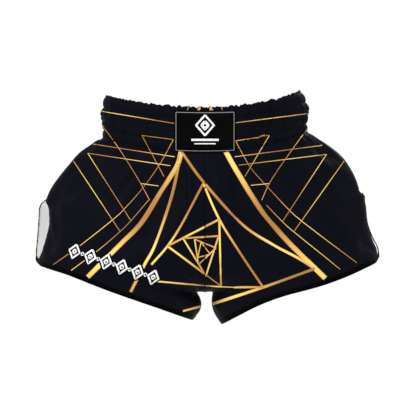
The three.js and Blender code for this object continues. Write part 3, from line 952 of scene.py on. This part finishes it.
def label_z(x, z, half_w, half_h):
    """Height of a point of the patch, whose top and bottom edges bow down in the middle."""
    grown = z * (1 + (LABEL_UNDER if z < 0 else LABEL_OVER) / half_h)
    return grown - 1.5 * MM * (1 - (x / half_w) ** 2) * abs(z / half_h) * (1 if z < 0 else 0.6)


def add_label(black, grey, white):
    half_w = (label_hi.x - label_lo.x) / 2
    half_h = (label_hi.z - label_lo.z) / 2
    columns, rows = 90, 60

    def place(i, j):
        x = -half_w + 2 * half_w * i / (columns - 1)
        z = -half_h + 2 * half_h * j / (rows - 1)
        return band_place(x, label_z(x, z, half_w, half_h), label_height(x, z, half_w, half_h)), (x, z)

    patch = surface("waist_label", columns, rows, place, [black], flip=True)
    face_to(patch, (0, -1, 0))
    thicken(patch, 1.0 * MM)
    take_over(patch, "label_patch")
    target = Printed(patch)
    border = rounded_outline(half_w - BORDER_INSET, half_h - BORDER_INSET, 1.2 * MM)
    border = [(x, label_z(x, z, half_w, half_h)) for x, z in dense(border + border[:1], 4 * MM)]
    outer = diamond(9.5 * MM, 15 * MM, 17 * MM)
    inner = diamond(9.5 * MM, 5.5 * MM, 6.5 * MM)
    bars = [[(-half * MM, z * MM), (half * MM, z * MM)] for half, z in ((23, -15), (18, -21.5))]
    widths = [3.2 * MM, 4.6 * MM, 3.6 * MM, 1.8 * MM]
    pieces = [stripe("label_border", [border], [1.15 * MM], target, grey, 0.22 * MM),
              stripe("label_emblem", [outer, inner] + bars, widths, target, white, 0.3 * MM)]
    return [patch] + [take_over(obj, None) for obj in pieces]


def dense(points, step):
    """The same outline with a point at least every step."""
    out = []
    for (x0, z0), (x1, z1) in zip(points, points[1:]):
        count = max(1, math.ceil(math.dist((x0, z0), (x1, z1)) / step))
        out += [(x0 + (x1 - x0) * k / count, z0 + (z1 - z0) * k / count) for k in range(count)]
    return out + points[-1:]


def diamond(z, half_w, half_h):
    return [(0, z + half_h), (half_w, z), (0, z - half_h), (-half_w, z), (0, z + half_h)]


def add_size_tag(cloth):
    """A folded tag that hangs from the top of the facing at the centre back."""
    lo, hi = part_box("size_tag")
    half = (hi.x - lo.x) / 2
    columns, rows = 16, 18

    def place(i, j):
        x = -half + 2 * half * i / (columns - 1)
        s = j / (rows - 1)
        curl = 2.2 * MM * s ** 2 + 0.5 * MM * math.sin(2.2 * i / columns + 2 * s)
        return (x, lo.y - 0.6 * MM - curl, hi.z - (hi.z - lo.z) * s), (x, -s * (hi.z - lo.z))

    tag = surface("blank_size_tag", columns, rows, place, [cloth])
    thicken(tag, 0.5 * MM)
    take_over(tag, "size_tag")


def add_eyelet(side, thread):
    """A round stitched eyelet: a ring of radial stitches in the facing."""
    lo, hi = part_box(f"cord_eyelet_{side}")
    centre = (lo + hi) / 2
    out = Vector((centre.x / HALF_W ** 2, centre.y / HALF_D ** 2, 0)).normalized()
    across, up = Vector((-out.y, out.x, 0)), Vector((0, 0, 1))
    radius, tube = 3.4 * MM, 1.15 * MM
    around, section = 96, 10

    def place(i, k):
        a, b = 2 * math.pi * i / around, 2 * math.pi * k / section
        stitch = tube * (0.86 + 0.14 * abs(math.sin(12 * a)))
        r = radius + stitch * math.cos(b)
        spot = centre + across * r * math.cos(a) + up * r * math.sin(a) - out * (stitch * 0.7 * math.sin(b))
        return spot, (a * radius, b * tube)

    obj = surface(f"stitched_eyelet_{side}", around + 1, section, place, [thread], loop_rows=True)
    weld_and_face(obj)
    take_over(obj, f"cord_eyelet_{side}")


def add_bartack(panels, side, thread):
    """A bar of dense zigzag stitches across the side seam at the top of the vent."""
    lo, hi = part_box(f"vent_bartack_{side}")
    front, back = (panels[half, side] for half in FACES)
    row = int(np.searchsorted(front.t, LEGS[side]["vent_top"]))
    centre = Vector((front.points[-1, row] + back.points[-1, row]) / 2)
    centre.x += LEGS[side]["sign"] * 0.3 * MM
    length = hi.y - lo.y
    around, along = 12, 60

    def place(i, k):
        s, a = i / along, 2 * math.pi * k / around
        swell = (0.8 + 0.2 * abs(math.sin(s * math.pi * 15))) * (0.5 if i in (0, along) else 1)
        wide, high = 0.75 * MM * swell * math.cos(a), 1.6 * MM * swell * math.sin(a)
        return centre + Vector((wide, length * (s - 0.5), high)), (s * length, a * MM)

    obj = surface(f"bartack_stitches_{side}", along + 1, around, place, [thread], loop_rows=True, caps=True)
    weld_and_face(obj)
    take_over(obj, f"vent_bartack_{side}", side)


GUSSET_TUCK = 3 * MM


def add_gusset(side, materials):
    """Half of the crotch gusset, spanned from the centre line to the rim of the two panels."""
    leg = LEGS[side]
    steps, across = 40, 8

    def place(i, k):
        s, f = 2 * i / steps - 1, k / across
        face = -1 if s < 0 else 1
        z = CROTCH_Z + (GUSSET_TIP_Z + 2 * GUSSET_TUCK - CROTCH_Z) * abs(s)
        rim = panel_points(leg, face, np.array(0.0), np.array((z - SEAM_Z) / (leg["inner_z"] - SEAM_Z)))
        width = abs(rim[0]) + GUSSET_TUCK * (1 - 0.5 * abs(s))
        behind = 0.9 * MM + 0.8 * MM * f ** 4
        rise = (behind + 0.8 * MM * math.sin(math.pi * f)) * (1 - abs(s))
        spot = leg["sign"] * width * f, rim[1] - face * behind * abs(s) ** 0.5, rim[2] + rise
        return spot, (rim[1], width * f)

    obj = surface(f"cloth_gusset_{side}", steps + 1, across + 1, place, materials, flip=leg["sign"] < 0)
    face_to(obj, (0, 0, -1))
    thicken(obj, 0.7 * MM, inner_slot=1)
    return take_over(obj, f"crotch_gusset_{side}", side)


# ---- printed pattern ----
# Widths and places in mm. x is from the centre seam, and z is up from the height BAND_HALF.
THIN = 1.3
FINE_LINES = [
    [(-183, -4), (-51, -26)],
    [(-106, -46), (-53, -53)],
    [(-53, -53), (-77, -96), (-105, -135), (-135, -169), (-153, -186), (-207, -229), (-256, -264)],
    [(-106, -46), (-69, -115)],
    [(-192, -60), (-51, -82)],
    [(-197, -76), (-58, -97)],
    [(-197, -76), (-125, -188.5)],
    [(-221, -89), (-143, -207)],
    [(-95, -155), (-124, -189), (-142, -207), (-177, -237), (-225, -273)],
    [(-107, -127), (-78, -131)],
    [(-180, -19), (-144, -69), (-112, -120), (-93, -155)],
    [(183, -8), (50, -25)],
    [(108, -46), (51, -55)],
    [(51, -55), (75, -98), (97, -124), (139, -169), (160, -188), (208, -225), (255, -260)],
    [(108, -46), (67, -115)],
    [(203, -62), (50, -82)],
    [(204, -78), (57, -96)],
    [(204, -78), (130, -191)],
    [(233, -90), (149, -208)],
    [(103, -163), (130, -191), (149, -208), (190, -241), (227, -271)],
    [(108, -127), (77, -130)],
    [(174, -32), (147, -69), (112, -120), (95, -155)],
    [(-26, 4), (-32, -8)],
    [(26, 4), (32, -8)],
]
BROAD_LINES = [
    (4.6, [(-8.5, 3), (-12, -8)]),
    (4.6, [(8.5, 3), (12, -8)]),
    (8.0, [(-40, -73), (-47, -97), (-75, -142), (-107, -193), (-141, -228), (-197, -284)]),
    (8.6, [(35, -74), (58, -114), (96, -174), (135, -220), (169, -254), (202, -286)]),
    (5.0, [(-42, -76), (-45, -99), (-58, -155), (-84, -230), (-101, -262), (-125, -309)]),
    (4.6, [(-40, -73), (-2, -125), (62, -195), (113, -229), (156, -252), (184, -270)]),
    (3.8, [(-3, -127), (-39, -195), (-63, -232), (-90, -263)]),
    (3.8, [(-3, -127), (24, -187), (58, -242), (97, -300)]),
    (5.2, [(184, -270), (98, -301), (13, -329)]),
    (4.6, [(-7, -333), (-37, -341)]),
    (3.8, [(98, -301), (26, -300), (-82, -291)]),
]
NESTED_TRIANGLES = [
    (3.6, [(-63, -232), (24, -187), (27, -299)]),
    (3.0, [(-37, -219), (23, -215), (1.5, -282)]),
    (2.5, [(-17.5, -220.5), (18.5, -235), (-11, -263)]),
    (2.0, [(-6.5, -225.5), (9, -245.5), (-12.5, -251)]),
]
MARK_LINE = ((-219, -241), (-87, -284))
MARK_COUNT = 6
MARK_SIZE = (23, 29)


def pattern_lines():
    closed = [(width, corners + corners[:1]) for width, corners in NESTED_TRIANGLES]
    return [(THIN, points) for points in FINE_LINES] + BROAD_LINES + closed


def smooth_line(points, step):
    """Points every step along a polyline in metres, rounding its bends where it has more than two."""
    p = np.array(points, float)
    turns = [np.dot(b - a, c - b) / (np.linalg.norm(b - a) * np.linalg.norm(c - b))
             for a, b, c in zip(p, p[1:], p[2:])]
    if turns and min(turns) > 0.8:
        fine = spline(p, np.linspace(0, len(p) - 1, 24 * (len(p) - 1) + 1), 0)
    else:
        fine = p
    gone = lengths(fine)
    marks = np.unique(np.concatenate([np.arange(0, gone[-1], step), gone if len(fine) < 8 else gone[-1:]]))
    return np.stack([np.interp(marks, gone, fine[:, c]) for c in range(2)], axis=1)


def bvh(obj):
    verts = [obj.matrix_world @ v.co for v in obj.data.vertices]
    return BVHTree.FromPolygons(verts, [list(p.vertices) for p in obj.data.polygons])


def settle(tree, point, normal, lift):
    """The surface's point under a point near it, raised by lift, or None if the surface is too far off."""
    hit = tree.ray_cast(point + normal * 6 * MM, -normal, 14 * MM)[0]
    if hit is None:
        hit = tree.find_nearest(point)[0]
        if (hit - point).length > 2.5 * MM:
            return None
    return hit + normal * lift


def look_ray(x, z, back=False):
    """The line of sight that meets the plane of the side seams at x, z."""
    eye = Vector((EYE.x, -EYE.y, EYE.z)) if back else EYE
    return eye, (Vector((x, 0, z)) - eye).normalized()


SIGHTINGS = 5
LONGEST_AIM = 3 * MM
WIDEST_MISS = 1.5 * MM
LONGEST_JUMP = 12 * MM
GOLD_LIFT, GOLD_STEP = 0.28 * MM, 1.4 * MM


class Printed:
    """Something printed on: the folded surface, and the unfolded one that the design is laid out on."""

    def __init__(self, obj, points=None, normals=None, unfolded=None):
        self.tree = bvh(obj)
        self.points, self.normals = points, normals
        if unfolded is None:
            self.plan = self.tree
            return
        self.unfolded = unfolded
        flat = [Vector(p) for p in unfolded.reshape(-1, 3)]
        self.plan = BVHTree.FromPolygons(flat, grid_faces(*unfolded.shape[:2]))

    def place(self, x, z, back):
        """The folded surface's point and normal that the viewer sees at x, z, or None past its edge."""
        found = self.lay(x, z, back)
        if found is None or self.points is None:
            return found
        eye = look_ray(x, z, back)[0]
        aim_x, aim_z = x, z
        for _ in range(SIGHTINGS):
            way = found[0] - eye
            seen = eye + way * (eye.y / -way.y)
            miss_x, miss_z = x - seen.x, z - seen.z
            aim_x += max(-LONGEST_AIM, min(LONGEST_AIM, 0.8 * miss_x))
            aim_z += max(-LONGEST_AIM, min(LONGEST_AIM, 0.8 * miss_z))
            found = self.lay(aim_x, aim_z, back) or found
        return found if math.hypot(miss_x, miss_z) < WIDEST_MISS else None

    def lay(self, x, z, back):
        """The folded surface's point and normal where the unfolded one has x, z, or None past its edge."""
        eye, ray = look_ray(x, z, back)
        hit, normal, face, _ = self.plan.ray_cast(eye, ray, 2 * CAMERA_DISTANCE)
        if hit is None or (hit.y < -2 * MM if back else hit.y > 2 * MM):
            return None
        if self.points is None:
            facing = normal.dot(ray)
            return None if abs(facing) < 0.12 else (hit, normal if facing < 0 else -normal)
        i, j = divmod(face, self.unfolded.shape[1] - 1)
        corner, beside, below = (Vector(self.unfolded[k]) for k in ((i, j), (i + 1, j), (i, j + 1)))
        u, v, w = beside - corner, below - corner, hit - corner
        skew = u.length_squared * v.length_squared - u.dot(v) ** 2
        f = min(1, max(0, (w.dot(u) * v.length_squared - w.dot(v) * u.dot(v)) / skew))
        g = min(1, max(0, (w.dot(v) * u.length_squared - w.dot(u) * u.dot(v)) / skew))
        point = self.mix(self.points, i, j, f, g)
        return point, self.mix(self.normals, i, j, f, g).normalized()

    @staticmethod
    def mix(grid, i, j, f, g):
        near = grid[i, j] * (1 - f) + grid[i + 1, j] * f
        far = grid[i, j + 1] * (1 - f) + grid[i + 1, j + 1] * f
        return Vector(near * (1 - g) + far * g)


def unbroken(hits):
    """The runs of a path's places on a surface, parted where the path leaves it or jumps."""
    run = []
    for hit in hits + [None]:
        if hit is None or (run and (hit[0] - run[-1][0]).length > LONGEST_JUMP):
            if len(run) > 1:
                yield run
            run = []
        if hit is not None:
            run.append(hit)


def strip_into(store, target, path, width, lift, tone, back):
    """Adds one flat strip that follows the surface under a path of (x, z) to the store."""
    across = max(2, math.ceil(width / (1.6 * MM)) + 1)
    for run in unbroken([target.place(x, z, back) for x, z in path]):
        gone, rows = 0.0, []
        for k, (point, _) in enumerate(run):
            before, after = run[max(k - 1, 0)][0], run[min(k + 1, len(run) - 1)][0]
            gone += (point - before).length
            normal = sum((n for _, n in run[max(0, k - 2):k + 3]), Vector()).normalized()
            side = (after - before).cross(normal)
            if side.length < 1e-9:
                continue
            side.normalize()
            shares = [n / (across - 1) - 0.5 for n in range(across)]
            places = [settle(target.tree, point + side * (f * width), normal, lift) for f in shares]
            if None not in places:
                rows.append([(place, (tone + gone / (38 * MM), f)) for place, f in zip(places, shares)])
            else:
                emit(store, rows)
                rows = []
        emit(store, rows)


def emit(store, rows):
    """Writes rows of points as quads."""
    if len(rows) > 1:
        store["faces"] += grid_faces(len(rows), len(rows[0]), start=len(store["points"]))
        store["points"] += [place for row in rows for place in row]


def stripe(name, paths, widths, target, material, lift, step=0.8 * MM, back=False, tones=None):
    """A thin raised print or line of thread on a surface, along one or more paths of (x, z) in metres."""
    store = {"points": [], "faces": []}
    for k, (path, width, tone) in enumerate(zip(paths, widths, tones or [0.0] * len(paths))):
        strip_into(store, target, smooth_line(path, step), width, lift + 0.004 * MM * k, tone, back)
    if not store["faces"]:
        return None
    places, uvs = zip(*store["points"])
    obj = new_object(name, places, store["faces"], [material], uvs)
    face_to(obj, (0, 1 if back else -1, 0))
    thicken(obj, lift * 0.9)
    return obj


def in_metres(points):
    return [(x * MM, z * MM + BAND_HALF) for x, z in points]


def add_print(panels, band, gussets, gold):
    """The gold lines, cut where they pass from one cut piece to the next."""
    lines = pattern_lines()
    paths = [in_metres(points) for _, points in lines]
    widths = [width * MM for width, _ in lines]
    tones = list(RNG.uniform(0, 2 * math.pi, len(lines)))
    made = {}
    for back in (False, True):
        half = "back" if back else "front"
        targets = {"casing": Printed(band["casing", half])}
        targets.update({side: panels[half, side].printed() for side in LEGS})
        targets.update({f"gusset_{side}": Printed(gussets[side]) for side in LEGS})
        for key, target in targets.items():
            side = None if key == "casing" else key.replace("gusset_", "")
            obj = stripe(f"gold_{half}_{key}", paths, widths, target, gold, GOLD_LIFT, GOLD_STEP, back, tones)
            if obj:
                made[half, key] = take_over(obj, None, side)
    return made


def mark_outlines():
    """A row of hollow diamonds along the hem, each with a small one inside, and small ones between."""
    (x0, z0), (x1, z1) = MARK_LINE
    turn = math.atan2(z1 - z0, x1 - x0)
    outlines = []
    for k, f in enumerate(np.linspace(0, 1, 2 * MARK_COUNT - 1)):
        cx, cz = x0 + (x1 - x0) * f, z0 + (z1 - z0) * f
        for size in (0.2,) if k % 2 else (1.0, 0.3):
            corners = diamond(0, size * (MARK_SIZE[0] / 2 - 2.5), size * (MARK_SIZE[1] / 2 - 2.5))
            outlines.append([(cx + a * math.cos(turn) - b * math.sin(turn),
                              cz + a * math.sin(turn) + b * math.cos(turn)) for a, b in corners])
    return [in_metres(o) for o in outlines]


def add_marks(panel, black, white):
    """Plain diamonds where such shorts carry lettering, white with a black edge."""
    target = panel.printed()
    outlines = mark_outlines()
    made = []
    for name, width, lift, material in (("hem_diamond_edges", 9.2 * MM, 0.42 * MM, black),
                                        ("hem_diamonds", 3.2 * MM, 0.6 * MM, white)):
        obj = stripe(name, outlines, [width] * len(outlines), target, material, lift)
        made.append(take_over(obj, None, panel.side))
    return made


def tell_sheets(panels, band, tapes, gold_pieces, marks, label):
    """Gathers for each panel and each band piece the tapes, gold print, marks and label on it, and does
    nothing more with them.
    """
    for (half, side), panel in panels.items():
        extra = tapes[half, side] + [gold_pieces[half, side]]
        if (half, side) == ("front", "right"):
            extra += marks
    for (kind, half), obj in band.items():
        extra = [gold_pieces[half, "casing"]] if kind == "casing" else []
        if (kind, half) == ("casing", "front"):
            extra += label


def main():
    set_stage()
    satin, lining, binding = satin_material(), lining_material(), binding_material()
    grey = thread_material("grey_thread", (0.16, 0.16, 0.17), (0.3, 0.3, 0.31), 0.6 * MM)
    white = thread_material("white_thread", (0.7, 0.7, 0.7), (0.88, 0.88, 0.88), 0.5 * MM)
    dark = thread_material("dark_thread", (0.001, 0.001, 0.0015), (0.003, 0.003, 0.004), 0.5 * MM)
    patch = thread_material("label_weave", (0.0004, 0.0004, 0.0005), (0.0012, 0.0012, 0.0014), 0.5 * MM, 0.3)
    unfolded = coarse_panels()
    panels = finish_panels(simulate(unfolded), unfolded)
    band = add_waistband(satin, elastic_material())
    tapes = {}
    for key, panel in panels.items():
        panel.build([satin, lining])
        tapes[key] = [add_binding(panel, kind, cover, binding) for kind, cover in TAPE_COVERS.items()]
    gussets = {side: add_gusset(side, [satin, lining]) for side in LEGS}
    gold_pieces = add_print(panels, band, gussets, gold_material())
    marks = add_marks(panels["front", "right"], dark, white)
    label = add_label(patch, grey, white)
    add_size_tag(lining)
    for side in LEGS:
        add_eyelet(side, dark)
        add_bartack(panels, side, dark)
    tell_sheets(panels, band, tapes, gold_pieces, marks, label)


main()
